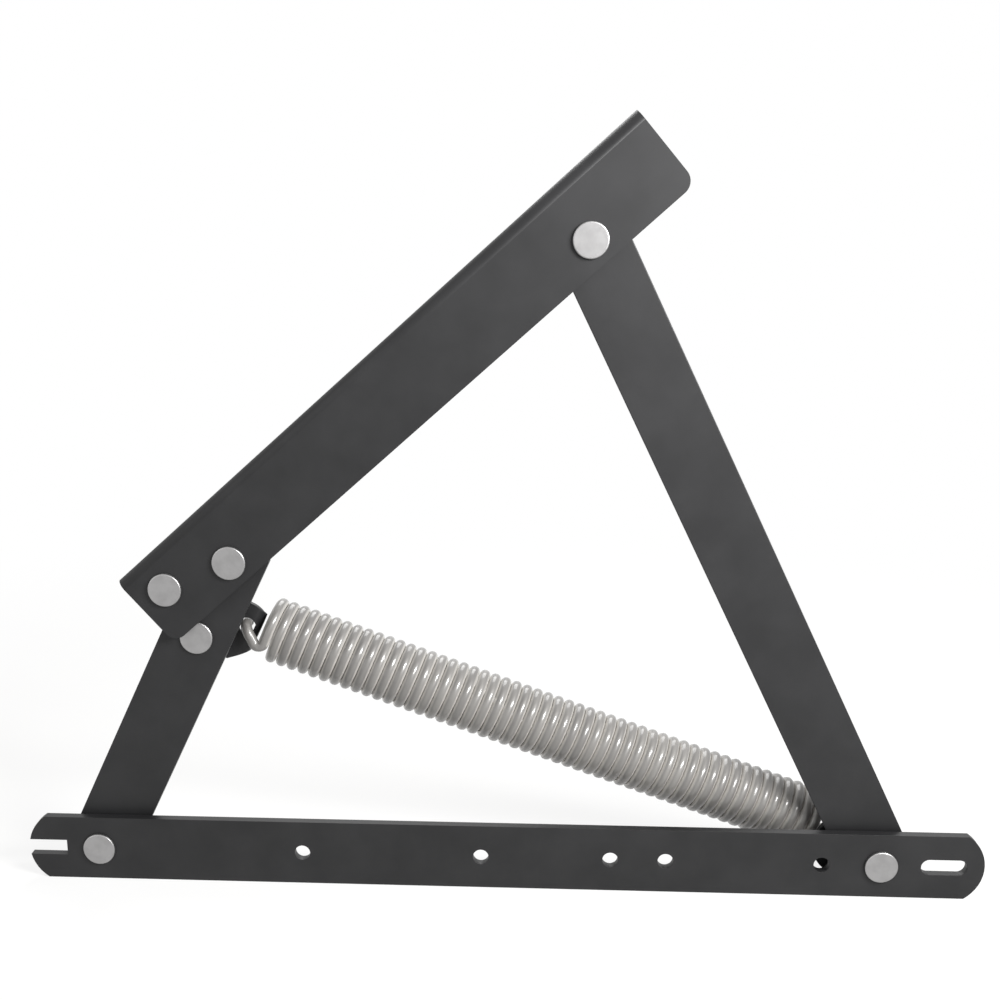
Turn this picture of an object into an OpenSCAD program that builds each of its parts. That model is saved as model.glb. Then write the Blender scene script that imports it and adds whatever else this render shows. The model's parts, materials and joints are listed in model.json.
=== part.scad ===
// Spring lift mechanism for a storage bed: two flat links carry an angle-section lift arm
// above a base bar, and a tension spring from a bracket on the short link to a plate on the
// long link's lower pivot holds it up. The mechanism is drawn open, in millimetres.
// X runs along the base bar, Y from the front face to the back, Z up.

/* [Linkage] */
// Distance between the two pivots on the base bar
base_pivots = 400; // [370:1:440]
// Short link, pivot to pivot
short_pivots = 170.5; // [160:0.5:180]
// Long link, pivot to pivot
long_pivots = 341; // [325:0.5:350]
// Angle of the short link above the base bar when open
open_angle = 64; // [58:0.5:70]
// Gap between the arm's lower edge and the base bar's upper edge when closed
closed_gap = 0.4; // [0.2:0.1:3]

/* [Bars] */
// Thickness of the base bar and of the lift arm
bar_t = 5; // [4:0.5:6]
// Thickness of the two links
link_t = 5; // [4:0.5:6]
// Width of the base bar and of the two links
bar_w = 34; // [32:0.5:38]
// How far a rounded bar end bulges past its corners
end_bulge = 9; // [6:0.5:11]
// From a link's pivot to the corners of its end
link_end = 7; // [5:0.5:10]
// From the short link's pivot to the corners of the base bar's end
base_end_short = 28; // [26:0.5:34]
// From the long link's pivot to the corners of the base bar's end
base_end_long = 42.5; // [40:0.5:50]

/* [Base bar holes] */
// Diameter of the round screw holes
hole_d = 8; // [6:0.5:9]
// First hole, from the short link's pivot
hole_1 = 106; // [90:0.5:120]
// Second hole, from the short link's pivot
hole_2 = 198; // [180:0.5:210]
// Third hole, from the short link's pivot
hole_3 = 264; // [250:0.5:275]
// Fourth hole, from the short link's pivot
hole_4 = 292; // [285:0.5:310]
// Fifth hole, back from the long link's pivot
hole_5_back = 29.5; // [27:0.5:34]
// Width of both slots
slot_w = 8.2; // [6:0.1:9]
// From the short link's pivot to the inner end of the open slot
open_slot_in = 17.2; // [15:0.1:20]
// End-to-end length of the closed slot
slot_len = 23; // [16:0.5:26]
// From the long link's pivot to the middle of the closed slot
slot_mid = 31.5; // [28:0.5:36]

/* [Lift arm] */
// Height of the arm's leg, across the bar
arm_leg = 41; // [38:0.5:48]
// From the arm's lower edge up to its pivots
arm_low = 12; // [10.5:0.5:14]
// Depth of the arm's flange from the front face
arm_flange = 18; // [16:0.5:19]
// Arm past the stop rivet, at its lower end
arm_over_stop = 15.6; // [13:0.1:26]
// Arm past its pivot with the long link
arm_over_high = 50.5; // [40:0.5:70]
// Outer radius of the arm's bend
arm_bend_r = 5.5; // [5.5:0.5:7]
// Corner radius of the arm's leg and flange
arm_corner_r = 6.5; // [3:0.5:8]
// Diameter of the screw holes in the flange
arm_hole_d = 7; // [5:0.5:8]
// Number of screw holes in the flange
arm_holes = 4; // [2:1:5]
// From the arm's ends to the outer flange holes
arm_hole_in = 20; // [14:0.5:30]

/* [Rivets and washers] */
// Diameter of the pivot rivets' shanks
pin_d = 10; // [8:0.5:11]
// Diameter of the flat rivet heads
head_d = 16.6; // [15:0.2:17]
// Thickness of the flat rivet heads
head_t = 2; // [1.5:0.1:3]
// Diameter of the formed tails behind the links
tail_d = 14; // [12.5:0.5:15]
// Thickness of the formed tails
tail_t = 2.2; // [1.8:0.1:2.4]
// Thickness of the spacers between the front bars and the links
spacer_t = 1.8; // [1.8:0.1:2.4]
// Outer diameter of the spacers
spacer_d = 22; // [19:0.5:24]
// Thickness of the washers behind the links
washer_t = 1.5; // [1:0.1:1.8]
// Outer diameter of the washers behind the links
washer_d = 18; // [16.5:0.5:20]
// Edge chamfer on rivet heads and tails
head_chamfer = 0.4; // [0.2:0.1:0.6]
// Radial running clearance of every pivot
pin_fit = 0.05; // [0.02:0.01:0.1]
// Axial running gap between faces that slide past each other
face_gap = 0.1; // [0.05:0.05:0.2]

/* [Open stop] */
// Height of the stop rivet above the arm's pivots, across the arm
stop_up = 10.9; // [8:0.1:15]
// Diameter of the sleeve that the short link meets
stop_bush_d = 11.2; // [10:0.2:12]
// Diameter of the stop rivet's shank
stop_pin_d = 7; // [6:0.5:8]
// Gap between the sleeve and the short link's edge
stop_gap = 0.3; // [0.2:0.1:0.5]

/* [Spring bracket] */
// Thickness of the bracket behind the short link
bracket_t = 3; // [2.5:0.1:3.2]
// Half width of the bracket's flat part
bracket_half_w = 13; // [11:0.5:14]
// From the short link's lower pivot to the bracket's own rivet
bracket_rivet = 125.7; // [123:0.1:127]
// Diameter of the bracket rivet's shank
bracket_pin_d = 6; // [5:0.5:7]
// Diameter of the bracket rivet's tail
bracket_tail_d = 12; // [10:0.5:12.4]
// Thickness of the bracket rivet's thin head
thin_head_t = 1.6; // [1.2:0.1:1.6]
// From the short link's lower pivot up to the hook hole
hook_along = 136.6; // [136:0.1:140]
// From the short link's centre line out to the hook hole
hook_out = 19.2; // [18.8:0.1:19.6]
// Radius of the hook hole
hook_hole_r = 4.5; // [4:0.1:4.6]
// Clearance of the wire in the hook hole
hook_fit = 0.8; // [0.7:0.05:1]
// Depth of the ear behind the short link's back face
ear_back = 12; // [11.8:0.1:12.4]
// Radius of the ear's outline
ear_r = 13.7; // [13:0.1:14.4]
// From the hook hole out to the ear's turned-back tip
ear_tip_out = 6.8; // [6.4:0.1:7.2]
// Outer radius of the bend at the ear's tip
ear_bend_r = 5.5; // [5:0.1:6]
// Depth of the ear's turned-back tip
ear_tip_depth = 10; // [8:0.5:12]
// Slope of the joggle between the flat part and the ear
joggle_angle = 60; // [50:1:65]

/* [Anchor plate and post] */
// Thickness of the anchor plate
anchor_t = 3; // [2.5:0.5:4]
// Radius of the anchor plate's end at the pivot
anchor_pivot_r = 14; // [12:0.5:15]
// Radius of the anchor plate's end at the post
anchor_post_r = 17; // [14:0.5:18]
// From the long link's lower pivot to the spring post
post_out = 16; // [15:0.5:18]
// Diameter of the post's shoulder
post_d = 12; // [11:0.5:13]
// Diameter of the neck that the spring's eye sits on
neck_d = 8; // [7:0.5:9]
// Diameter of the post's end flange
post_flange_d = 14; // [12:0.5:15]
// Thickness of the post's end flange
post_flange_t = 2; // [1.5:0.5:3]

/* [Spring] */
// Diameter of the spring wire
wire_d = 5.3; // [4.4:0.1:5.4]
// Outer diameter of the coil
coil_od = 34; // [32:0.2:34.6]
// Least space between neighbouring turns when open
coil_gap = 0.5; // [0.45:0.05:1.2]
// Depth of the spring's centre line behind the front face
spring_depth = 33.5; // [33.5:0.5:36]
// From the hook hole to the first turn, along the spring
hook_len = 11.5; // [11:0.1:14]
// From the last turn to the long link's lower pivot
eye_len = 32.4; // [31:0.2:36]
// Clearance of the wire round the post's neck
eye_fit = 0.3; // [0.2:0.1:0.6]

/* [Hidden] */
$fn = 64;
end_facets = 128;
plate_facets = 48;
over = 1;

// Layers from the front face of the base bar to the back
spacer_y = bar_t + face_gap;
link_y = spacer_y + spacer_t + face_gap;
back_y = link_y + link_t;
washer_y = back_y + face_gap;
tail_y = washer_y + washer_t + face_gap;
anchor_y = back_y + face_gap;
anchor_washer_y = anchor_y + anchor_t + face_gap;
anchor_tail_y = anchor_washer_y + washer_t + face_gap;
ear_y = back_y + ear_back;
pin_r = pin_d / 2;
bore_r = pin_r + pin_fit;

// Four-bar linkage: the arm lies level on the base bar when closed
closed_h = bar_w / 2 + arm_low + closed_gap;
short_run = sqrt(short_pivots * short_pivots - closed_h * closed_h);
long_run = sqrt(long_pivots * long_pivots - closed_h * closed_h);
arm_pivots = base_pivots + short_run - long_run;

// Open position, measured from the short link's lower pivot, as [x, z]
function polar(radius, angle) = radius * [cos(angle), sin(angle)];
function heading(from, to) = atan2(to[1] - from[1], to[0] - from[0]);
pivot_a = [0, 0];
pivot_b = [base_pivots, 0];
pivot_d = polar(short_pivots, open_angle);
diagonal = norm(pivot_b - pivot_d);
diagonal_cos = (arm_pivots * arm_pivots + diagonal * diagonal - long_pivots * long_pivots)
    / (2 * arm_pivots * diagonal);
arm_angle = heading(pivot_d, pivot_b) + acos(diagonal_cos);
pivot_c = pivot_d + polar(arm_pivots, arm_angle);
long_angle = heading(pivot_b, pivot_c);

// Stop rivet, in the arm's frame: its sleeve lies against the short link's outer edge
stop_bush_r = stop_bush_d / 2;
stop_side = bar_w / 2 + stop_gap + stop_bush_r;
stop_lean = open_angle - arm_angle;
stop_back = (stop_side - stop_up * cos(stop_lean)) / sin(stop_lean);
arm_over_low = stop_back + arm_over_stop;
pivot_e = pivot_d - stop_back * polar(1, arm_angle) + stop_up * polar(1, arm_angle + 90);

// Spring line, from the hook hole in the ear to the long link's lower pivot
link_x = polar(1, open_angle);
link_out = [link_x[1], -link_x[0]];
hook = hook_along * link_x + hook_out * link_out;
spring_angle = heading(hook, pivot_b);
coil_r = (coil_od - wire_d) / 2;
wire_r = wire_d / 2;
coil_len = norm(pivot_b - hook) - hook_len - eye_len;
quarter = 0.25;
whole_turns = floor(coil_len / (wire_d + coil_gap) - quarter);
coil_turns = whole_turns + quarter;
pitch = coil_len / coil_turns;

// The frame's origin is the middle of the first and fourth holes, on the front face
row_mid = (hole_1 + hole_4) / 2;

black_coat = "#3d3d3d";
zinc = "#a9a9a9";
spring_wire = "#a39f9b";
nylon = "#24231f";

// Puts a piece at a point of the linkage, with its own X axis turned to an angle
module at(point, angle = 0) {
    translate([point[0] - row_mid, 0, point[1]]) rotate([0, -angle, 0]) children();
}

// Stands a flat outline up in the XZ plane, from depth y to y + thick
module plate(y, thick) {
    translate([0, y + thick, 0]) rotate([90, 0, 0]) linear_extrude(thick) children();
}

// Round bar along Y, from depth y to y + deep
module rod(y, deep, radius) {
    translate([0, y, 0]) rotate([-90, 0, 0]) cylinder(h = deep, r = radius);
}

// Revolved part along Y, from [radius, depth] points
module turned(points) {
    rotate([-90, 0, 0]) rotate_extrude() polygon(points);
}

// Flat bar outline: corners at x from low to high, each end bulging past them
module bar_outline(low, high) {
    end_r = (bar_w * bar_w / 4 + end_bulge * end_bulge) / (2 * end_bulge);
    intersection() {
        translate([low - end_bulge, -bar_w / 2]) square([high - low + 2 * end_bulge, bar_w]);
        union() {
            translate([low, -bar_w / 2]) square([high - low, bar_w]);
            translate([low - end_bulge + end_r, 0]) circle(end_r, $fn = end_facets);
            translate([high + end_bulge - end_r, 0]) circle(end_r, $fn = end_facets);
        }
    }
}

// Slot outline, centred, between end radii
module slot_outline(length, width) {
    run = length - width;
    translate([-run / 2, -width / 2]) square([run, width]);
    for (side = [-1, 1]) translate([side * run / 2, 0]) circle(width / 2);
}

// Outline of two circles and their outer tangents, the second one a distance out along X
module tangent_outline(dist, r_1, r_2) {
    hull() {
        circle(r_1, $fn = plate_facets);
        translate([dist, 0]) circle(r_2, $fn = plate_facets);
    }
}

// Spacer or washer round a pivot
module ring(y, thick, outer_d) {
    difference() {
        rod(y, thick, outer_d / 2);
        rod(y - over, thick + 2 * over, bore_r);
    }
}

// Flat-headed rivet: head against the face at head_y, tail formed against the face at end_y
module rivet(head_y, flat_t, shank_r, end_y, back_r, back_t) {
    top = head_d / 2;
    turned([
        [0, head_y - flat_t], [top - head_chamfer, head_y - flat_t],
        [top, head_y - flat_t + head_chamfer], [top, head_y],
        [shank_r, head_y], [shank_r, end_y],
        [back_r, end_y], [back_r, end_y + back_t - head_chamfer],
        [back_r - head_chamfer, end_y + back_t], [0, end_y + back_t]
    ]);
}

module base_bar() {
    color(black_coat) at(pivot_a) difference() {
        plate(0, bar_t) difference() {
            bar_outline(-base_end_short, base_pivots + base_end_long);
            translate([-base_end_short - end_bulge - over, -slot_w / 2])
                square([base_end_short + end_bulge + over - open_slot_in, slot_w]);
            translate([base_pivots + slot_mid, 0]) slot_outline(slot_len, slot_w);
        }
        for (x = [hole_1, hole_2, hole_3, hole_4, base_pivots - hole_5_back])
            translate([x, 0, 0]) rod(-over, bar_t + 2 * over, hole_d / 2);
        for (x = [0, base_pivots]) translate([x, 0, 0]) rod(-over, bar_t + 2 * over, bore_r);
    }
}

// Arm in its own frame: X along the arm from the short link's pivot, Z across it
arm_top = arm_leg - arm_low;
arm_len = arm_over_low + arm_pivots + arm_over_high;
arm_inner_r = 1;
module arm_section() {
    difference() {
        union() {
            translate([0, -arm_low]) square([bar_t, arm_leg - arm_bend_r]);
            translate([arm_bend_r, arm_top - bar_t]) square([arm_flange - arm_bend_r, bar_t]);
            intersection() {
                translate([arm_bend_r, arm_top - arm_bend_r]) circle(arm_bend_r);
                translate([0, arm_top - arm_bend_r]) square(arm_bend_r);
            }
            translate([bar_t, arm_top - bar_t - arm_inner_r]) square(arm_inner_r);
        }
        translate([bar_t + arm_inner_r, arm_top - bar_t - arm_inner_r]) circle(arm_inner_r);
    }
}

// Rectangle with only its lower two corners rounded
module low_rounded(length, height, radius) {
    translate([0, radius]) square([length, height - radius]);
    translate([radius, 0]) square([length - 2 * radius, radius]);
    for (x = [radius, length - radius]) translate([x, radius]) circle(radius);
}

arm_hole_step = (arm_len - 2 * arm_hole_in) / (arm_holes - 1);
arm_hole_y = (bar_t + arm_flange) / 2;
module lift_arm() {
    color(black_coat) at(pivot_d, arm_angle) difference() {
        intersection() {
            translate([-arm_over_low, 0, 0]) rotate([90, 0, 90]) linear_extrude(arm_len) arm_section();
            translate([-arm_over_low, 0, -arm_low])
                plate(-over, arm_flange + 2 * over) low_rounded(arm_len, arm_leg, arm_corner_r);
            translate([-arm_over_low, arm_flange, -arm_low - over]) mirror([0, 1, 0])
                linear_extrude(arm_leg + 2 * over) low_rounded(arm_len, arm_flange, arm_corner_r);
        }
        for (x = [0, arm_pivots]) translate([x, 0, 0]) rod(-over, bar_t + 2 * over, bore_r);
        translate([-stop_back, 0, stop_up]) rod(-over, bar_t + 2 * over, stop_pin_d / 2 + pin_fit);
        for (i = [0:arm_holes - 1])
            translate([arm_hole_in - arm_over_low + i * arm_hole_step, arm_hole_y, arm_top - bar_t - over])
                cylinder(h = bar_t + 2 * over, d = arm_hole_d);
    }
}

module link(length) {
    difference() {
        plate(link_y, link_t) bar_outline(-link_end, length + link_end);
        for (x = [0, length]) translate([x, link_y - over, 0]) rod(0, link_t + 2 * over, bore_r);
    }
}

module short_link() {
    color(black_coat) at(pivot_a, open_angle) difference() {
        link(short_pivots);
        translate([bracket_rivet, 0, 0]) rod(link_y - over, link_t + 2 * over, bracket_pin_d / 2 + pin_fit);
    }
}

module long_link() {
    color(black_coat) at(pivot_b, long_angle) link(long_pivots);
}

module short_link_base_rivet() {
    color(zinc) at(pivot_a) rivet(0, head_t, pin_r, tail_y, tail_d / 2, tail_t);
}

module long_link_base_rivet() {
    color(zinc) at(pivot_b) rivet(0, head_t, pin_r, anchor_tail_y, tail_d / 2, tail_t);
}

module short_link_arm_rivet() {
    color(zinc) at(pivot_d)
        rivet(0, head_t, pin_r, back_y + bracket_t + face_gap, tail_d / 2, tail_t);
}

// The open pivot: the front half stays with the arm, the rear half with the long link
module long_link_arm_rivet_head() {
    top = head_d / 2;
    end_y = spacer_y + spacer_t;
    color(zinc) at(pivot_c) turned([
        [0, -head_t], [top - head_chamfer, -head_t], [top, head_chamfer - head_t],
        [top, 0], [pin_r, 0], [pin_r, end_y], [0, end_y]
    ]);
}

module long_link_arm_rivet_tail() {
    back_r = tail_d / 2;
    back = tail_y + tail_t;
    color(zinc) at(pivot_c) turned([
        [0, link_y], [pin_r, link_y], [pin_r, tail_y], [back_r, tail_y],
        [back_r, back - head_chamfer], [back_r - head_chamfer, back], [0, back]
    ]);
}

module stop_rivet() {
    color(zinc) at(pivot_e)
        rivet(0, head_t, stop_pin_d / 2, back_y + face_gap, stop_bush_r, tail_t);
}

module stop_bush() {
    color(nylon) at(pivot_e) difference() {
        rod(bar_t, link_y - bar_t + link_t, stop_bush_r);
        rod(0, back_y + over, stop_pin_d / 2 + pin_fit);
    }
}

module bracket_rivet() {
    color(zinc) at(pivot_a, open_angle) translate([bracket_rivet, 0, 0])
        rivet(link_y, thin_head_t, bracket_pin_d / 2, back_y + bracket_t, bracket_tail_d / 2, tail_t);
}

// Bracket section across the link, as [out, depth]: the flat part, a joggle back to the
// ear's depth, the ear, and its turned-back tip
ear_tip = hook_out + ear_tip_out;
neck_start = -1;
joggle_end = neck_start + ear_back / tan(joggle_angle);
joggle_lean = bracket_t * tan(joggle_angle / 2);
bend_steps = 12;
module bracket_section() {
    flat_start = bracket_t - bracket_half_w;
    bend_mid = [ear_tip - ear_bend_r, ear_y + ear_bend_r];
    polygon(concat(
        [[flat_start, back_y + bracket_t], [flat_start, back_y], [neck_start, back_y], [joggle_end, ear_y]],
        [for (i = [0:bend_steps]) bend_mid + polar(ear_bend_r, 90 * i / bend_steps - 90)],
        [[ear_tip, ear_y + ear_tip_depth], [ear_tip - bracket_t, ear_y + ear_tip_depth]],
        [for (i = [0:bend_steps]) bend_mid + polar(ear_bend_r - bracket_t, -90 * i / bend_steps)],
        [[joggle_end - joggle_lean, ear_y + bracket_t], [neck_start - joggle_lean, back_y + bracket_t]]
    ));
}

// The neck joins the ear to the flat part between the two rivets. Below it the ear keeps
// clear of the link, so that the coil can close round it when the mechanism folds
neck_past_tail = 0.8;
neck_low = bracket_rivet + bracket_tail_d / 2 + neck_past_tail;
hook_off_middle = [1.7, 1.8];
ear_mid = [hook_along, hook_out] - hook_off_middle;
ear_inner_in = 3.8;
ear_inner = hook_out - ear_inner_in;
ear_foot_past = 5;
ear_foot = ear_r + ear_foot_past;
ear_slant = 132;
module ear_outline() {
    slant = ear_mid + polar(ear_r, ear_slant);
    difference() {
        union() {
            translate(ear_mid) circle(ear_r);
            polygon([
                [ear_mid[0] - ear_foot, ear_inner], [ear_mid[0] - ear_foot, bar_w / 2],
                slant, ear_mid, [ear_mid[0], ear_inner]
            ]);
            translate([neck_low, -bracket_half_w]) square([ear_mid[0] + ear_r - neck_low,
                bracket_half_w + ear_mid[1]]);
        }
        translate([neck_low - ear_foot - over, ear_inner - ear_foot]) square([ear_foot + over, ear_foot]);
    }
}

// The ear's edge seen along the bend: full up to the back of the ear, then a round tip
module ear_side() {
    full = ear_back + bracket_t + over;
    translate([ear_mid[0] - ear_foot - over, back_y - over]) square([2 * ear_foot, full]);
    translate([ear_mid[0], ear_y + ear_tip_depth - ear_r]) circle(ear_r);
}

// Bracket in the short link's frame, X along the link, with -Z outwards to the spring
hook_hole_past = 1.5;
module spring_bracket() {
    flat_len = short_pivots - bracket_rivet;
    ear_top = ear_mid[0] + ear_r;
    color(black_coat) at(pivot_a, open_angle) difference() {
        union() {
            difference() {
                translate([bracket_rivet, 0, 0])
                    plate(back_y, bracket_t) tangent_outline(flat_len, bracket_half_w, bracket_half_w);
                translate([neck_low - over, back_y - over, -bar_w])
                    cube([ear_top - neck_low + 2 * over, bracket_t + 2 * over, bar_w - neck_start]);
            }
            intersection() {
                translate([ear_mid[0] - ear_foot, 0, 0]) rotate([0, 90, 0])
                    linear_extrude(ear_foot + ear_r) bracket_section();
                plate(back_y - over, ear_back + ear_tip_depth + bracket_t + 2 * over)
                    mirror([0, 1]) ear_outline();
                translate([0, 0, -bar_w]) linear_extrude(2 * bar_w) ear_side();
            }
        }
        translate([hook_along, 0, -hook_out])
            rod(ear_y - over, over + bracket_t + hook_hole_past, hook_hole_r);
        translate([short_pivots, 0, 0]) rod(back_y - over, bracket_t + 2 * over, bore_r);
        translate([bracket_rivet, 0, 0])
            rod(back_y - over, bracket_t + 2 * over, bracket_pin_d / 2 + pin_fit);
    }
}

module anchor_plate() {
    color(black_coat) at(pivot_b, spring_angle + 180) difference() {
        plate(anchor_y, anchor_t) tangent_outline(post_out, anchor_pivot_r, anchor_post_r);
        rod(anchor_y - over, anchor_t + 2 * over, bore_r);
        translate([post_out, 0, 0]) rod(anchor_y - over, anchor_t + 2 * over, neck_d / 2 + pin_fit);
    }
}

module spring_post() {
    shoulder_y = anchor_y + anchor_t;
    neck_y = spring_depth - wire_r - eye_fit;
    flange_y = spring_depth + wire_r + eye_fit;
    color(zinc) at(pivot_b, spring_angle + 180) translate([post_out, 0, 0]) turned([
        [0, anchor_y], [neck_d / 2, anchor_y], [neck_d / 2, shoulder_y],
        [post_d / 2, shoulder_y], [post_d / 2, neck_y], [neck_d / 2, neck_y],
        [neck_d / 2, flange_y], [post_flange_d / 2, flange_y],
        [post_flange_d / 2, flange_y + post_flange_t - head_chamfer],
        [post_flange_d / 2 - head_chamfer, flange_y + post_flange_t],
        [0, flange_y + post_flange_t]
    ]);
}

// Spring route in its own frame: X along the spring from the hook hole, Y depth, Z across it
function unit(v) = v / norm(v);
function bezier(a, b, c, d, t) =
    pow(1 - t, 3) * a + 3 * pow(1 - t, 2) * t * b + 3 * (1 - t) * t * t * c + pow(t, 3) * d;
function round_corner(corner, into, out_of, reach, steps) =
    let (turn = acos(into * out_of),
         radius = reach / tan(turn / 2),
         side = unit(out_of - (into * out_of) * into))
    [for (i = [0:steps]) let (a = turn * i / steps)
        corner - reach * into + radius * (sin(a) * into + (1 - cos(a)) * side)];
function coil_point(turn) = [
    hook_len + pitch * turn,
    spring_depth - coil_r * cos(360 * turn),
    coil_r * sin(360 * turn)
];
function coil_heading(turn) = unit([
    pitch / (2 * PI * coil_r), sin(360 * turn), cos(360 * turn)
]);

// Hook: straight through the ear's hole, round its front, down to a sharp bend and into the coil
wire_sides = 6;
rings = 8;
hook_tail = 9;
hook_front = 1.1;
hook_seat_angle = 118;
hook_reach = 5;
hook_steps = 6;
hook_y = ear_y - wire_r - hook_front;
hook_seat = polar(hook_hole_r - wire_r - hook_fit, hook_seat_angle);
hook_corner = [hook_seat[0], hook_y, hook_seat[1]];
hook_start = [hook_seat[0], ear_y + hook_tail, hook_seat[1]];
sharp_back = 10.35;
sharp_reach = 6.3;
sharp_steps = 5;
sharp_corner = coil_point(0) - sharp_back * coil_heading(0);
strand = unit(sharp_corner - hook_corner);
forward = [0, -1, 0];
hook_route = concat(
    [hook_start, hook_start + wire_d * forward],
    round_corner(hook_corner, forward, strand, hook_reach, hook_steps),
    round_corner(sharp_corner, strand, coil_heading(0), sharp_reach, sharp_steps)
);
coil_route = [for (i = [0:coil_turns * rings]) coil_point(i / rings)];

// Eye: from the top of the last turn down to a loop round the post's neck
eye_r = neck_d / 2 + eye_fit + wire_r;
eye_x = norm(pivot_b - hook) - post_out;
eye_top = [eye_x, spring_depth, eye_r];
eye_wrap = 225;
eye_steps = 10;
lead_steps = 6;
lead_out = [0, 6, 0];
lead_in = [7, 0, 0];
coil_last = coil_route[len(coil_route) - 1];
eye_end = 90 - eye_wrap;
eye_route = concat(
    [for (i = [1:lead_steps - 1])
        bezier(coil_last, coil_last + lead_out, eye_top - lead_in, eye_top, i / lead_steps)],
    [for (i = [0:eye_steps]) let (a = 90 - eye_wrap * i / eye_steps)
        [eye_x + eye_r * cos(a), spring_depth, eye_r * sin(a)]],
    [[eye_x + eye_r * cos(eye_end) + wire_d * sin(eye_end), spring_depth,
        eye_r * sin(eye_end) - wire_d * cos(eye_end)]]
);
route = concat(hook_route, coil_route, eye_route);

// Tube along a route: a frame carried from ring to ring without twist
function heading_at(path, i) =
    let (last = len(path) - 1)
    unit(path[min(i + 1, last)] - path[max(i - 1, 0)]);
function carried(side, forward) = unit(side - (side * forward) * forward);
module tube(path, radius, sides) {
    n = len(path);
    start = carried([1, 0, 0], heading_at(path, 0));
    across = [for (i = 0, u = start; i < n;
        i = i + 1, u = i < n ? carried(u, heading_at(path, i)) : u) u];
    points = [for (i = [0:n - 1]) let (u = across[i], v = cross(heading_at(path, i), u))
        for (k = [0:sides - 1])
            path[i] + radius * (cos(360 * k / sides) * u + sin(360 * k / sides) * v)];
    walls = [for (i = [0:n - 2]) for (k = [0:sides - 1])
        let (a = i * sides + k, b = i * sides + (k + 1) % sides)
        each [[a, a + sides, b], [b, a + sides, b + sides]]];
    caps = [for (k = [1:sides - 2]) each [
        [0, k, k + 1],
        [(n - 1) * sides, (n - 1) * sides + k + 1, (n - 1) * sides + k]]];
    polyhedron(points, concat(walls, caps), convexity = 10);
}

// Least distance between stretches of wire that are a good way apart along the route
run = [for (i = 0, s = 0; i < len(route);
    i = i + 1, s = i < len(route) ? s + norm(route[i] - route[i - 1]) : s) s];
apart = 3 * wire_d;
least_gap = min([for (i = [0:len(route) - 2]) for (j = [i + 1:len(route) - 1])
    if (run[j] - run[i] > apart) norm(route[i] - route[j])]) - wire_d;
echo(least_gap_between_turns = least_gap, turns = coil_turns, pitch = pitch, wire = run[len(run) - 1]);

module lift_spring() {
    color(spring_wire) at(hook, spring_angle) tube(route, wire_r, wire_sides);
}

module short_link_base_spacer() {
    color(nylon) at(pivot_a) ring(spacer_y, spacer_t, spacer_d);
}

module long_link_base_spacer() {
    color(nylon) at(pivot_b) ring(spacer_y, spacer_t, spacer_d);
}

module short_link_arm_spacer() {
    color(nylon) at(pivot_d) ring(spacer_y, spacer_t, spacer_d);
}

module long_link_arm_spacer() {
    color(nylon) at(pivot_c) ring(spacer_y, spacer_t, spacer_d);
}

module short_link_base_washer() {
    color(zinc) at(pivot_a) ring(washer_y, washer_t, washer_d);
}

module long_link_base_washer() {
    color(zinc) at(pivot_b) ring(anchor_washer_y, washer_t, washer_d);
}

module long_link_arm_washer() {
    color(zinc) at(pivot_c) ring(washer_y, washer_t, washer_d);
}

base_bar();
lift_arm();
short_link();
long_link();
short_link_base_rivet();
long_link_base_rivet();
short_link_arm_rivet();
long_link_arm_rivet_head();
long_link_arm_rivet_tail();
stop_rivet();
stop_bush();
bracket_rivet();
spring_bracket();
anchor_plate();
spring_post();
lift_spring();
short_link_base_spacer();
long_link_base_spacer();
short_link_arm_spacer();
long_link_arm_spacer();
short_link_base_washer();
long_link_base_washer();
long_link_arm_washer();
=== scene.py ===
"""Finishes, visible spring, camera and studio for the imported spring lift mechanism.

Lengths in the classes are millimetres unless a name says otherwise, as on the drawing. The
frame is in metres: X along the base bar, Y from the front face to the back, Z up.
"""
import json
import logging
import math
from collections.abc import Callable
from dataclasses import dataclass
from enum import Enum
from typing import Any

import bpy
from mathutils import Matrix, Vector


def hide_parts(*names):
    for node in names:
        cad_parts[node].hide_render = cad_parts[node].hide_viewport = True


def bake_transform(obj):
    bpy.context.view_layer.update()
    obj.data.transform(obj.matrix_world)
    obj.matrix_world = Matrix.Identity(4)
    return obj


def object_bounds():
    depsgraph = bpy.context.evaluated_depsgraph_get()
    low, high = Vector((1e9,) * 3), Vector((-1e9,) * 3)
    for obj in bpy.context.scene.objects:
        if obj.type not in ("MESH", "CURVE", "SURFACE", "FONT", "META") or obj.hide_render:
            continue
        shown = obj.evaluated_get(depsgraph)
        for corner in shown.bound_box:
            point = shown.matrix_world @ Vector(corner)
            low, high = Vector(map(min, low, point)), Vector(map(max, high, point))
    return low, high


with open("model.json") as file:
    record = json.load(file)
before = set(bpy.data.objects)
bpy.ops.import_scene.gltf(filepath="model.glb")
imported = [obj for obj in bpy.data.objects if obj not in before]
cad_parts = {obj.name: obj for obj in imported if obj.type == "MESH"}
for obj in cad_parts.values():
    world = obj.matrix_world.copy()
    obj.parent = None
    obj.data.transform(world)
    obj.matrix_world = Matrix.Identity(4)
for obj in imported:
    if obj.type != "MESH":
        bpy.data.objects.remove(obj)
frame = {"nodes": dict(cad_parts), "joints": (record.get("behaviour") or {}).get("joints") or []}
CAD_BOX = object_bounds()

log = logging.getLogger("lift")

Colour = tuple[float, float, float, float]
Point = tuple[float, float, float]
# Constants or output sockets for a node's input sockets, by name or place
Sockets = dict[str | int, Any]

MM = 0.001

# Attributes of the wire's mesh: place on the wire, and how far it faces the next turn, which masks
# the painted light in the grooves
WIRE_PLACE = "wire_place"
WIRE_FLANK = "wire_flank"

# Patterns on the wire are drawn out this many times along it, to long lines
DRAWN_OUT = 40.0

# Rounded end of a cropped wire: way in from the cut and radius there, in radii of the wire
CUT_END = ((0.0, 0.62), (0.12, 0.86), (0.34, 1.0))

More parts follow.
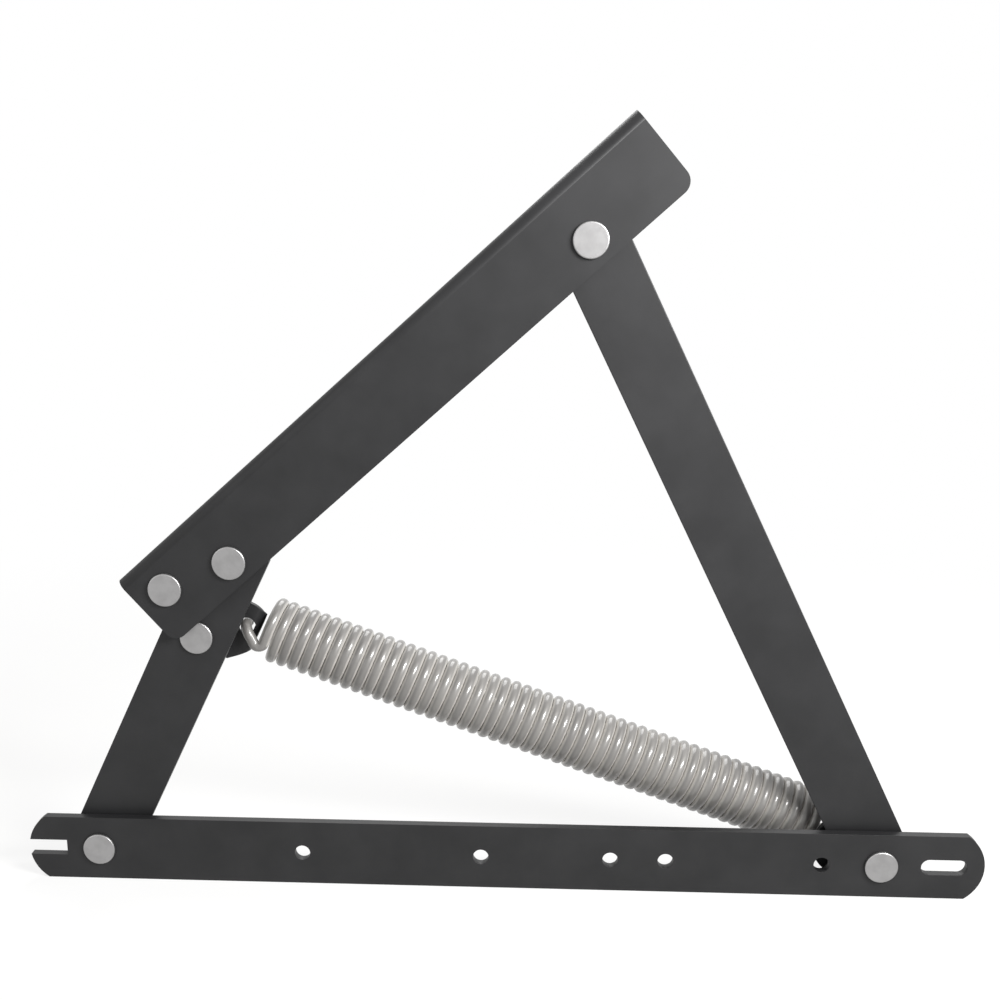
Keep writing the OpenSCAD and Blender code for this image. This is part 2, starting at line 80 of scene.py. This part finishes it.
# How sharp edges are found and broken: the CAD mesh is welded and its flat faces joined first
WELD_MM = 0.002
FLAT_DEG = 0.4
SHARP_DEG = 32.0
EDGE_STEPS = 2

# Places of a colour mix node's sockets
MIX_SHARE, MIX_FIRST, MIX_SECOND, MIX_RESULT = 0, 6, 7, 2


def linear(hex_colour: str) -> Colour:
    """Turn an sRGB hex colour to the linear values that the shaders take.

    Args:
        hex_colour: a colour such as "#1d1d1e".

    Returns:
        Red, green and blue from 0 to 1, and an alpha of 1.
    """
    def channel(start: int) -> float:
        """Linear value of the two hex digits that start there."""
        c = int(hex_colour[start:start + 2], 16) / 255
        return c / 12.92 if c <= 0.04045 else ((c + 0.055) / 1.055) ** 2.4

    return channel(1), channel(3), channel(5), 1.0


WHITE = linear("#ffffff")


def add_node(tree: bpy.types.NodeTree, kind: str, settings: dict[str, Any] | None = None,
             values: Sockets | None = None, links: Sockets | None = None) -> bpy.types.Node:
    """Add one node with its settings, constants and links.

    Args:
        tree: node tree of a material or of the world.
        kind: the node's type name.
        settings: attributes of the node itself.
        values: constants for its input sockets.
        links: output sockets that feed its input sockets.

    Returns:
        The new node.
    """
    node = tree.nodes.new(kind)
    for name, value in (settings or {}).items():
        setattr(node, name, value)
    for name, value in (values or {}).items():
        node.inputs[name].default_value = value
    for name, source in (links or {}).items():
        tree.links.new(source, node.inputs[name])
    return node


def new_material(name: str) -> bpy.types.Material:
    """Make a node material with an empty tree.

    Args:
        name: the material and how its surface was made.

    Returns:
        The new material.
    """
    material = bpy.data.materials.new(name)
    material.use_nodes = True
    material.node_tree.nodes.clear()
    return material


def graded(tree: bpy.types.NodeTree, source: bpy.types.NodeSocket, low: float | Colour,
           high: float | Colour, span: tuple[float, float] = (0.35, 0.65)) -> bpy.types.NodeSocket:
    """Spread a pattern between two colours or two numbers.

    Args:
        tree: the material's node tree.
        source: output socket of the pattern, from 0 to 1.
        low: colour or number where the pattern is at span's start or under it.
        high: colour or number where the pattern is at span's end or over it.
        span: part of the pattern's range that carries the change.

    Returns:
        Output socket with the spread colour or number.
    """
    if isinstance(low, (int, float)):
        ranged = add_node(tree, "ShaderNodeMapRange", values={
            "From Min": span[0], "From Max": span[1], "To Min": low, "To Max": high,
        }, links={"Value": source})
        return ranged.outputs["Result"]
    ramp = add_node(tree, "ShaderNodeValToRGB", links={"Fac": source})
    for stop, place, colour in zip(ramp.color_ramp.elements, span, (low, high)):
        stop.position = place
        stop.color = colour
    return ramp.outputs["Color"]


@dataclass(frozen=True)
class Pattern:
    """Cloudy noise at the real size of what it stands for."""

    size_mm: float
    detail: float = 2.0
    roughness: float = 0.5
    distortion: float = 0.0

    def values(self) -> Sockets:
        """Noise settings whose pattern repeats about once in size_mm."""
        return {
            "Scale": 1.0 / (self.size_mm * MM), "Detail": self.detail,
            "Roughness": self.roughness, "Distortion": self.distortion,
        }


@dataclass(frozen=True)
class Relief:
    """Fine height of a surface, which bends the light on it."""

    deep_mm: float
    strength: float


def skin(material: bpy.types.Material, height: bpy.types.NodeSocket, relief: Relief,
         values: Sockets, links: Sockets) -> bpy.types.Material:
    """End a material whose patterns are in place: its relief, its shader and its output.

    Args:
        material: the material.
        height: output socket of the pattern that stands up from the surface.
        relief: how deep and how strong that pattern is.
        values: the shader's constants.
        links: output sockets that feed the shader.

    Returns:
        The same material.
    """
    tree = material.node_tree
    bump = add_node(tree, "ShaderNodeBump", values={
        "Strength": relief.strength, "Distance": relief.deep_mm * MM,
    }, links={"Height": height}).outputs["Normal"]
    shader = add_node(tree, "ShaderNodeBsdfPrincipled", values=values,
                      links={**links, "Normal": bump})
    add_node(tree, "ShaderNodeOutputMaterial", links={"Surface": shader.outputs["BSDF"]})
    return material


@dataclass(frozen=True)
class PowderCoat:
    """Satin black polyester powder, sprayed on pickled steel and baked."""

    name: str = "powder_coat_satin_black_sprayed_steel"
    colour: str = "#161617"
    colour_light: str = "#1d1d1e"
    roughness: float = 0.46
    roughness_worn: float = 0.54
    ior: float = 1.4
    mottle: Pattern = Pattern(26.0, detail=3.0, roughness=0.55)
    peel: Pattern = Pattern(1.8, detail=1.0, roughness=0.4)
    # Powder grain is finer in truth, and is drawn as coarse as it needs to be to show
    grain: Pattern = Pattern(0.45)
    grain_share: float = 0.25
    ripple: Relief = Relief(0.02, 0.35)

    def build(self) -> bpy.types.Material:
        """Make the material.

        Returns:
            A near-black coat: the eye sees a soft, wide sheen with the faint ripple that
            powder leaves as it flows out, and no sharp reflection anywhere.
        """
        material = new_material(self.name)
        tree = material.node_tree
        place = add_node(tree, "ShaderNodeTexCoord").outputs["Object"]
        mottle, peel, grain = (
            add_node(tree, "ShaderNodeTexNoise", values=pattern.values(),
                     links={"Vector": place}).outputs["Fac"]
            for pattern in (self.mottle, self.peel, self.grain)
        )
        height = add_node(tree, "ShaderNodeMath", {"operation": "MULTIPLY_ADD"}, values={
            1: self.grain_share,
        }, links={0: grain, 2: peel}).outputs["Value"]
        return skin(material, height, self.ripple, {"Metallic": 0.0, "IOR": self.ior}, {
            "Base Color": graded(tree, mottle, linear(self.colour), linear(self.colour_light)),
            "Roughness": graded(tree, grain, self.roughness, self.roughness_worn),
        })


@dataclass(frozen=True)
class ZincPlate:
    """Bright zinc, barrel-plated on cold-headed steel."""

    name: str = "zinc_plate_satin_cold_headed_steel"
    colour: str = "#9a9999"
    colour_light: str = "#a2a1a1"
    roughness: float = 0.36
    roughness_worn: float = 0.44
    cloud: Pattern = Pattern(5.0)
    # Tumbling marks are finer in truth, and are drawn as coarse as they need to be to show
    scuff: Pattern = Pattern(0.5, detail=3.0, roughness=0.6, distortion=1.2)
    scuff_relief: Relief = Relief(0.008, 0.25)

    def build(self) -> bpy.types.Material:
        """Make the material.

        Returns:
            A pale grey metal: the eye sees flat, cloudy heads with the fine tumbling marks
            that barrel plating leaves, a little brighter where the rim turns to the light.
        """
        material = new_material(self.name)
        tree = material.node_tree
        place = add_node(tree, "ShaderNodeTexCoord").outputs["Object"]
        cloud, scuff = (
            add_node(tree, "ShaderNodeTexNoise", values=pattern.values(),
                     links={"Vector": place}).outputs["Fac"]
            for pattern in (self.cloud, self.scuff)
        )
        return skin(material, scuff, self.scuff_relief, {"Metallic": 1.0}, {
            "Base Color": graded(tree, cloud, linear(self.colour), linear(self.colour_light)),
            "Roughness": graded(tree, scuff, self.roughness, self.roughness_worn),
        })


@dataclass(frozen=True)
class SpringWire:
    """Hard-drawn spring steel wire, hot-dip zinc under a clear lacquer."""

    name: str = "spring_steel_zinc_dipped_lacquered_wire"
    colour: str = "#605e5c"
    colour_light: str = "#6f6d6a"
    # Painted light: a paler colour in the grooves between the turns, where the turns shade each
    # other
    groove_colour: str = "#bebbb6"
    groove_span: tuple[float, float] = (0.5, 0.92)
    metal: float = 0.15
    roughness: float = 0.45
    roughness_worn: float = 0.58
    lacquer: float = 0.7
    lacquer_roughness: float = 0.05
    # Lines from the die are finer in truth, and are drawn as coarse as they need to be to show
    lines: Pattern = Pattern(0.5)
    cloud: Pattern = Pattern(4.0)
    line_relief: Relief = Relief(0.012, 0.3)

    def build(self) -> bpy.types.Material:
        """Make the material.

        Returns:
            A pale warm grey: the dull zinc scatters light like a pale stone, so that the
            turns light each other, and the eye sees faint lines that run along the wire
            from the die, the small hard glints of the lacquer on every turn, and painted
            light in the grooves between the turns: a paler colour that lifts the shade there.
        """
        material = new_material(self.name)
        tree = material.node_tree
        place, flank = (
            add_node(tree, "ShaderNodeAttribute", {"attribute_name": name}).outputs
            for name in (WIRE_PLACE, WIRE_FLANK)
        )
        lines, cloud = (
            add_node(tree, "ShaderNodeTexNoise", values=pattern.values(),
                     links={"Vector": place["Vector"]}).outputs["Fac"]
            for pattern in (self.lines, self.cloud)
        )
        # Painted light: the paler groove colour is mixed in where the wire faces the next turn
        colour = add_node(tree, "ShaderNodeMix", {"data_type": "RGBA"}, values={
            MIX_SECOND: linear(self.groove_colour),
        }, links={
            MIX_SHARE: graded(tree, flank["Fac"], 0.0, 1.0, self.groove_span),
            MIX_FIRST: graded(tree, cloud, linear(self.colour), linear(self.colour_light)),
        })
        return skin(material, lines, self.line_relief, {
            "Metallic": self.metal, "Coat Weight": self.lacquer,
            "Coat Roughness": self.lacquer_roughness,
        }, {
            "Base Color": colour.outputs[MIX_RESULT],
            "Roughness": graded(tree, lines, self.roughness, self.roughness_worn),
        })


@dataclass(frozen=True)
class MouldedNylon:
    """Black nylon, injection-moulded."""

    name: str = "nylon_black_injection_moulded"
    colour: str = "#171614"
    colour_light: str = "#201f1c"
    roughness: float = 0.42
    roughness_worn: float = 0.55
    ior: float = 1.53
    # Spark pits are finer in truth, and are drawn as coarse as they need to be to show
    spark: Pattern = Pattern(0.4, roughness=0.55)
    spark_relief: Relief = Relief(0.015, 0.4)

    def build(self) -> bpy.types.Material:
        """Make the material.

        Returns:
            A dull, slightly warm black: the eye sees the fine pitted skin of an eroded mould.
        """
        material = new_material(self.name)
        tree = material.node_tree
        place = add_node(tree, "ShaderNodeTexCoord").outputs["Object"]
        spark = add_node(tree, "ShaderNodeTexNoise", values=self.spark.values(),
                         links={"Vector": place}).outputs["Fac"]
        return skin(material, spark, self.spark_relief, {"Metallic": 0.0, "IOR": self.ior}, {
            "Base Color": graded(tree, spark, linear(self.colour), linear(self.colour_light)),
            "Roughness": graded(tree, spark, self.roughness, self.roughness_worn),
        })


class Finish(Enum):
    """The finishes on the mechanism."""

    COAT = "coat"
    ZINC = "zinc"
    WIRE = "wire"
    NYLON = "nylon"


class Paintshop:
    """Makes each finish once and gives the pieces theirs."""

    def __init__(self) -> None:
        """Start with no material made."""
        self.recipes: dict[Finish, Callable[[], bpy.types.Material]] = {
            Finish.COAT: PowderCoat().build,
            Finish.ZINC: ZincPlate().build,
            Finish.WIRE: SpringWire().build,
            Finish.NYLON: MouldedNylon().build,
        }
        self.made: dict[Finish, bpy.types.Material] = {}

    def dress(self, piece: bpy.types.Object, finish: Finish) -> None:
        """Give a piece its finish in place of what it had.

        Args:
            piece: a mesh object.
            finish: which finish it gets.
        """
        if finish not in self.made:
            self.made[finish] = self.recipes[finish]()
        slots = piece.data.materials
        if not slots:
            slots.append(self.made[finish])
        for place in range(len(slots)):
            slots[place] = self.made[finish]
        log.info("%s: %s", piece.name, finish.value)

    def treat(self, names: tuple[str, ...], finish: Finish, edge_mm: float) -> None:
        """Dress pieces of the CAD model and break their edges.

        Args:
            names: the pieces' nodes.
            finish: which finish they get.
            edge_mm: width of the rounding on their sharp edges.
        """
        for name in names:
            self.dress(frame["nodes"][name], finish)
            break_edges(frame["nodes"][name], edge_mm)


def break_edges(piece: bpy.types.Object, size_mm: float) -> None:
    """Round a piece's sharp edges a little, so that they catch the light.

    Args:
        piece: a CAD node, whose mesh stays as it is under the modifiers.
        size_mm: width of the rounding.
    """
    weld = piece.modifiers.new("one_skin", "WELD")
    weld.merge_threshold = WELD_MM * MM
    flat = piece.modifiers.new("whole_faces", "DECIMATE")
    flat.decimate_type = "DISSOLVE"
    flat.angle_limit = math.radians(FLAT_DEG)
    edge = piece.modifiers.new("broken_edge", "BEVEL")
    edge.width = size_mm * MM
    edge.segments = EDGE_STEPS
    edge.limit_method = "ANGLE"
    edge.angle_limit = math.radians(SHARP_DEG)
    edge.miter_outer = "MITER_SHARP"
    edge.loop_slide = False
    edge.harden_normals = True


@dataclass
class Pressings:
    """Bars, links and plates: sheared and punched steel with a small broken edge."""

    edge: float = 0.45
    bracket_edge: float = 0.35
    plates: tuple[str, ...] = ("base_bar", "lift_arm", "short_link", "long_link", "anchor_plate")
    brackets: tuple[str, ...] = ("spring_bracket",)

    def build(self, shop: Paintshop) -> None:
        """Coat every pressing and break its edges.

        Args:
            shop: where the finishes come from.
        """
        shop.treat(self.plates, Finish.COAT, self.edge)
        shop.treat(self.brackets, Finish.COAT, self.bracket_edge)


@dataclass
class Fasteners:
    """Rivets, washers, post and the nylon rings on the pivots."""

    head_edge: float = 0.25
    ring_edge: float = 0.2
    heads: tuple[str, ...] = (
        "short_link_base_rivet", "long_link_base_rivet", "short_link_arm_rivet",
        "long_link_arm_rivet_head", "long_link_arm_rivet_tail", "stop_rivet",
        "bracket_rivet", "spring_post",
    )
    washers: tuple[str, ...] = (
        "short_link_base_washer", "long_link_base_washer", "long_link_arm_washer",
    )
    rings: tuple[str, ...] = (
        "stop_bush", "short_link_base_spacer", "long_link_base_spacer",
        "short_link_arm_spacer", "long_link_arm_spacer",
    )

    def build(self, shop: Paintshop) -> None:
        """Plate the metal pieces and mould the nylon ones.

        Args:
            shop: where the finishes come from.
        """
        shop.treat(self.heads, Finish.ZINC, self.head_edge)
        shop.treat(self.washers, Finish.ZINC, self.ring_edge)
        shop.treat(self.rings, Finish.NYLON, self.ring_edge)


@dataclass
class LiftSpring:
    """The tension spring: hook, close-wound coil and eye, in one unbroken wire.

    Its own axes are X along the spring from the hook hole to the eye, Y depth and Z across.
    """

    # Wire and coil
    wire_d: float = 5.7
    coil_od: float = 34.0
    depth: float = 33.5
    turns: float = 51.25
    length: float = 342.516
    hook_len: float = 11.5
    eye_len: float = 32.4

    # Hook: its seat in the ear's hole, the tail, the bend in front and the sharp one after it
    hook_hole_r: float = 4.5
    hook_fit: float = 0.8
    hook_seat_deg: float = 118.0
    ear_depth: float = 24.0
    hook_tail: float = 9.0
    hook_front: float = 1.1
    hook_reach: float = 5.0
    sharp_back: float = 10.35
    sharp_reach: float = 6.3

    # Eye: the post's neck, the loop round it and the lead from the last turn
    neck_d: float = 8.0
    eye_fit: float = 0.3
    post_out: float = 16.0
    eye_wrap_deg: float = 225.0
    lead_out: float = 6.0
    lead_in: float = 7.0

    # Fineness of the mesh
    rings_per_turn: int = 24
    rings_per_bend: int = 12
    rings_on_lead: int = 14
    rings_on_eye: int = 28
    sides: int = 14

    @property
    def coil_r(self) -> float:
        """Radius of the coil at the middle of the wire."""
        return (self.coil_od - self.wire_d) / 2

    @property
    def pitch(self) -> float:
        """Step of the coil for one turn."""
        return (self.length - self.hook_len - self.eye_len) / self.turns

    def coil_point(self, turn: float) -> Vector:
        """Middle of the wire after so many turns from the hook."""
        a = 2 * math.pi * turn
        return Vector((
            self.hook_len + self.pitch * turn,
            self.depth - self.coil_r * math.cos(a),
            self.coil_r * math.sin(a),
        ))

    def coil_heading(self, turn: float) -> Vector:
        """Direction of the wire in the coil.

        Args:
            turn: how many turns from the hook.

        Returns:
            Unit direction towards the eye's end of the wire.
        """
        a = 2 * math.pi * turn
        climb = self.pitch / (2 * math.pi * self.coil_r)
        return Vector((climb, math.sin(a), math.cos(a))).normalized()

    def hook_route(self) -> list[Vector]:
        """Tail through the ear's hole, round the ear's front and down to the coil.

        Returns:
            Points of the wire's middle line, in order.
        """
        wire_r = self.wire_d / 2
        seat = self.hook_hole_r - wire_r - self.hook_fit
        seat_angle = math.radians(self.hook_seat_deg)
        x, z = seat * math.cos(seat_angle), seat * math.sin(seat_angle)
        corner = Vector((x, self.ear_depth - wire_r - self.hook_front, z))
        heading = self.coil_heading(0)
        sharp = self.coil_point(0) - self.sharp_back * heading
        strand = (sharp - corner).normalized()
        forward = Vector((0, -1, 0))
        tail = Vector((x, self.ear_depth + self.hook_tail, z))
        return [
            tail, tail + forward * 0.5 * self.wire_d, tail + forward * self.wire_d,
            *round_corner(corner, forward, strand, self.hook_reach, self.rings_per_bend),
            *round_corner(sharp, strand, heading, self.sharp_reach, self.rings_per_bend),
        ]

    def coil_route(self) -> list[Vector]:
        """The turns between the hook and the eye."""
        steps = int(self.turns * self.rings_per_turn)
        return [self.coil_point(i / self.rings_per_turn) for i in range(steps + 1)]

    def eye_route(self, last: Vector) -> list[Vector]:
        """Lead from the last turn to the loop round the post's neck.

        Args:
            last: where the coil ends.

        Returns:
            Points of the wire's middle line, in order.
        """
        eye_r = self.neck_d / 2 + self.eye_fit + self.wire_d / 2
        eye_x = self.length - self.post_out
        top = Vector((eye_x, self.depth, eye_r))
        leave = last + Vector((0, self.lead_out, 0))
        arrive = top - Vector((self.lead_in, 0, 0))
        loop = []
        for i in range(self.rings_on_eye + 1):
            a = math.radians(90 - self.eye_wrap_deg * i / self.rings_on_eye)
            loop.append(Vector((eye_x + eye_r * math.cos(a), self.depth, eye_r * math.sin(a))))
        end = math.radians(90 - self.eye_wrap_deg)
        run_out = self.wire_d * Vector((math.sin(end), 0, -math.cos(end)))
        return [
            *bezier(last, leave, arrive, top, self.rings_on_lead),
            *loop, loop[-1] + 0.5 * run_out, loop[-1] + run_out,
        ]

    def route(self) -> list[Vector]:
        """Whole middle line of the wire, hook first."""
        coil = self.coil_route()
        return [*self.hook_route(), *coil, *self.eye_route(coil[-1])]

    def build(self, shop: Paintshop) -> None:
        """Make the wire, set it in the frame and hide the CAD spring that it stands in for.

        Args:
            shop: where the finishes come from.
        """
        pivot = Vector(joint("anchor_pivot")["pos_m"])
        away = Vector(joint("spring_stretch")["axis"]).normalized()
        along = -away
        across = Vector((0, -1, 0)).cross(along)
        place = Matrix((along, Vector((0, 1, 0)), across)).transposed()
        hook = pivot + away * self.length * MM
        route = [hook + place @ (p * MM) for p in self.route()]
        wire = tube("lift_spring_wire", route, self.wire_d / 2 * MM, self.sides, along)
        shop.dress(wire, Finish.WIRE)
        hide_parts("lift_spring")
        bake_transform(wire)


def joint(name: str) -> dict[str, Any]:
    """The frame's record of one joint."""
    return next(record for record in frame["joints"] if record["name"] == name)


def bezier(a: Vector, b: Vector, c: Vector, d: Vector, steps: int) -> list[Vector]:
    """Points inside a Bezier stretch, without its two ends.

    Args:
        a: where the stretch starts.
        b: handle that it leaves its start towards.
        c: handle that it reaches its end from.
        d: where the stretch ends.
        steps: number of parts that the points cut it into.

    Returns:
        The points, in order.
    """
    points = []
    for i in range(1, steps):
        t = i / steps
        s = 1 - t
        points.append(s ** 3 * a + 3 * s * s * t * b + 3 * s * t * t * c + t ** 3 * d)
    return points


def round_corner(corner: Vector, into: Vector, out_of: Vector, reach: float,
                 steps: int) -> list[Vector]:
    """Arc that takes a wire round a corner.

    Args:
        corner: where the two straight runs would meet.
        into: unit direction of the run that arrives.
        out_of: unit direction of the run that leaves.
        reach: distance from the corner to each end of the arc.
        steps: number of stretches in the arc.

    Returns:
        Points from the arc's start to its end.
    """
    turn = math.acos(into.dot(out_of))
    radius = reach / math.tan(turn / 2)
    side = (out_of - into.dot(out_of) * into).normalized()
    return [corner - reach * into
            + radius * (math.sin(turn * i / steps) * into + (1 - math.cos(turn * i / steps)) * side)
            for i in range(steps + 1)]


def wire_rings(route: list[Vector], radius: float) -> list[tuple[Vector, Vector, float]]:
    """Rings of a wire along a route, with rounded cut ends.

    Args:
        route: points of the middle line, in metres.
        radius: radius of the wire, in metres.

    Returns:
        For each ring its middle, its heading and its share of the radius.
    """
    last = len(route) - 1
    headings = [(route[min(i + 1, last)] - route[max(i - 1, 0)]).normalized()
                for i in range(len(route))]
    start = [(route[0] + headings[0] * way * radius, headings[0], share)
             for way, share in CUT_END]
    inner = [(route[i], headings[i], 1.0) for i in range(1, last)]
    end = [(route[-1] - headings[-1] * way * radius, headings[-1], share)
           for way, share in reversed(CUT_END)]
    return [*start, *inner, *end]


def tube_faces(rings: int, sides: int) -> list[tuple[int, ...]]:
    """Faces of a tube, whose corners are numbered ring by ring.

    Args:
        rings: number of rings.
        sides: corners of each ring.

    Returns:
        The four-cornered faces between the rings, and then one face over each end.
    """
    faces: list[tuple[int, ...]] = []
    for i in range(rings - 1):
        for k in range(sides):
            n = (k + 1) % sides
            faces.append((i * sides + k, i * sides + n, (i + 1) * sides + n, (i + 1) * sides + k))
    last = (rings - 1) * sides
    faces.append(tuple(range(sides - 1, -1, -1)))
    faces.append(tuple(last + k for k in range(sides)))
    return faces


def tube(name: str, route: list[Vector], radius: float, sides: int,
         axis: Vector) -> bpy.types.Object:
    """Sweep a round wire along a route.

    Args:
        name: the object's name.
        route: points of the middle line, in metres.
        radius: radius of the wire, in metres.
        sides: facets round the wire.
        axis: unit direction of the coil that the wire is wound into.

    Returns:
        The linked object. Its mesh carries the place on the wire as an attribute: round the
        wire at its true size, and along it shrunk, so that a pattern there turns to long
        lines. A second attribute goes to 1 where the wire faces the next turn, and masks the
        painted light that the wire's material puts into the grooves.
    """
    rings = wire_rings(route, radius)
    points, places, flanks = [], [], []
    side = Vector((1, 0, 0))
    run, before = 0.0, rings[0][0]
    for middle, heading, share in rings:
        side = (side - side.dot(heading) * heading).normalized()
        up = heading.cross(side)
        run += (middle - before).length
        before = middle
        for k in range(sides):
            a = 2 * math.pi * k / sides
            arm = math.cos(a) * side + math.sin(a) * up
            points.append(middle + radius * share * arm)
            places.append((radius * math.cos(a), radius * math.sin(a), run / DRAWN_OUT))
            flanks.append(abs(arm.dot(axis)) * (1 - abs(heading.dot(axis))))
    faces = tube_faces(len(rings), sides)
    mesh = bpy.data.meshes.new(name)
    mesh.from_pydata([tuple(p) for p in points], [], faces)
    mesh.polygons.foreach_set("use_smooth", [len(face) == 4 for face in faces])
    place_on_wire = mesh.attributes.new(WIRE_PLACE, "FLOAT_VECTOR", "POINT")
    place_on_wire.data.foreach_set("vector", [c for place in places for c in place])
    flank = mesh.attributes.new(WIRE_FLANK, "FLOAT", "POINT")
    flank.data.foreach_set("value", flanks)
    mesh.validate()
    piece = bpy.data.objects.new(name, mesh)
    bpy.context.scene.collection.objects.link(piece)
    return piece


def seen(tree: bpy.types.NodeTree) -> bpy.types.NodeSocket:
    """Tell the rays that see the surroundings as white from the rays that light the part.

    Args:
        tree: node tree of the floor's material or of the world.

    Returns:
        Output socket that is 1 for rays from the camera and through gloss or glass.
    """
    path = add_node(tree, "ShaderNodeLightPath").outputs
    either = add_node(tree, "ShaderNodeMath", {"operation": "MAXIMUM"}, links={
        0: path["Is Camera Ray"], 1: path["Is Glossy Ray"],
    }).outputs["Value"]
    return add_node(tree, "ShaderNodeMath", {"operation": "MAXIMUM"}, links={
        0: either, 1: path["Is Transmission Ray"],
    }).outputs["Value"]


@dataclass(frozen=True)
class StudioPaper:
    """Pale uncoated paper, rolled out matt side up."""

    name: str = "studio_paper_pale_matt"
    colour: str = "#f2f1ef"
    white_near: float = 0.8
    fade_from_m: float = 0.35
    fade_to_m: float = 0.9

    def build(self) -> bpy.types.Material:
        """Make the material.

        Returns:
            Pale matt paper: the eye sees the part's soft shadow on it, and white further off.
        """
        material = new_material(self.name)
        tree = material.node_tree
        paper = add_node(tree, "ShaderNodeBsdfDiffuse", values={"Color": linear(self.colour)})
        white = add_node(tree, "ShaderNodeEmission", values={"Color": WHITE, "Strength": 1.0})
        place = add_node(tree, "ShaderNodeTexCoord").outputs["Object"]
        away = add_node(tree, "ShaderNodeVectorMath", {"operation": "LENGTH"},
                        links={0: place}).outputs["Value"]
        fade = add_node(tree, "ShaderNodeMapRange", {"interpolation_type": "SMOOTHSTEP"}, values={
            "From Min": self.fade_from_m, "From Max": self.fade_to_m,
            "To Min": self.white_near, "To Max": 1.0,
        }, links={"Value": away}).outputs["Result"]
        share = add_node(tree, "ShaderNodeMath", {"operation": "MULTIPLY"},
                         links={0: seen(tree), 1: fade}).outputs["Value"]
        mixed = add_node(tree, "ShaderNodeMixShader", links={
            0: share, 1: paper.outputs["BSDF"], 2: white.outputs["Emission"],
        })
        add_node(tree, "ShaderNodeOutputMaterial", links={"Surface": mixed.outputs["Shader"]})
        return material


@dataclass(frozen=True)
class Lamp:
    """One soft square lamp, with its places in metres."""

    name: str
    at: Point
    target: Point
    size_m: float
    watts: float

    def hang(self) -> None:
        """Put the lamp in its place, facing its target."""
        light = bpy.data.lights.new(self.name, "AREA")
        light.shape = "SQUARE"
        light.size = self.size_m
        light.energy = self.watts
        piece = bpy.data.objects.new(self.name, light)
        piece.location = self.at
        facing = Vector(self.target) - Vector(self.at)
        piece.rotation_euler = facing.to_track_quat("-Z", "Y").to_euler()
        bpy.context.scene.collection.objects.link(piece)


@dataclass
class Studio:
    """Pale floor, white surroundings, soft lamps and the photograph's camera."""

    floor_half_m: float = 6.0
    fill: float = 0.34
    lamps: tuple[Lamp, ...] = (
        Lamp("key_upper_right", (0.51, -0.475, 0.56), (0.1, 0.0, 0.72), 0.4, 21.6),
        Lamp("fill_left", (-1.1, -1.0, 0.7), (0.0, 0.0, 0.15), 0.9, 3.0),
        Lamp("back_top", (0.1, 1.1, 1.2), (0.0, 0.0, 0.15), 0.9, 12.0),
    )

    # Camera: its place, directions and lens come from a pinhole camera fitted to the photograph
    camera_at: Point = (0.02032, -0.66233, 0.31465)
    camera_right: Point = (0.99845, 0.05557, -0.0007)
    camera_up: Point = (-0.01529, 0.28673, 0.95789)
    sensor_mm: float = 36.0
    lens_mm: float = 50.94
    shift: tuple[float, float] = (0.05, 0.14)
    near_m: float = 0.01
    far_m: float = 50.0

    def build(self) -> None:
        """Set up the floor, the world, the lamps and the camera."""
        scene = bpy.context.scene
        scene.view_settings.view_transform = "Standard"
        self.floor()
        self.world(scene)
        for lamp in self.lamps:
            lamp.hang()
        self.camera(scene)
        log.info("studio ready, with %d lamps", len(self.lamps))

    def floor(self) -> None:
        """Lay the floor under the lowest point of the part."""
        half, low = self.floor_half_m, CAD_BOX[0][2]
        corners = ((-half, -half), (half, -half), (half, half), (-half, half))
        mesh = bpy.data.meshes.new("floor")
        mesh.from_pydata([(x, y, low) for x, y in corners], [], [(0, 1, 2, 3)])
        mesh.materials.append(StudioPaper().build())
        piece = bpy.data.objects.new("floor", mesh)
        bpy.context.scene.collection.objects.link(piece)

    def world(self, scene: bpy.types.Scene) -> None:
        """Surround the part with white that the camera sees and a weaker fill light.

        Args:
            scene: the scene that gets the world.
        """
        world = bpy.data.worlds.new("studio_white")
        world.use_nodes = True
        tree = world.node_tree
        tree.nodes.clear()
        dim, white = (
            add_node(tree, "ShaderNodeBackground", values={"Color": WHITE, "Strength": strength})
            for strength in (self.fill, 1.0)
        )
        mixed = add_node(tree, "ShaderNodeMixShader", links={
            0: seen(tree), 1: dim.outputs["Background"], 2: white.outputs["Background"],
        })
        add_node(tree, "ShaderNodeOutputWorld", links={"Surface": mixed.outputs["Shader"]})
        scene.world = world

    def camera(self, scene: bpy.types.Scene) -> None:
        """Set the camera where the photograph was taken from.

        Args:
            scene: the scene that gets the camera.
        """
        data = bpy.data.cameras.new("photo_view")
        data.sensor_width = self.sensor_mm
        data.lens = self.lens_mm
        data.shift_x, data.shift_y = self.shift
        data.clip_start = self.near_m
        data.clip_end = self.far_m
        right = Vector(self.camera_right).normalized()
        up = Vector(self.camera_up)
        up = (up - up.dot(right) * right).normalized()
        back = right.cross(up)
        turned = Matrix((right, up, back)).transposed().to_4x4()
        piece = bpy.data.objects.new("photo_view", data)
        piece.matrix_world = Matrix.Translation(self.camera_at) @ turned
        scene.collection.objects.link(piece)
        scene.camera = piece


def main() -> None:
    """Build the studio and dress every piece."""
    logging.basicConfig(level=logging.INFO, format="%(name)s: %(message)s")
    shop = Paintshop()
    Studio().build()
    Pressings().build(shop)
    Fasteners().build(shop)
    LiftSpring().build(shop)


if __name__ == "__main__":
    main()
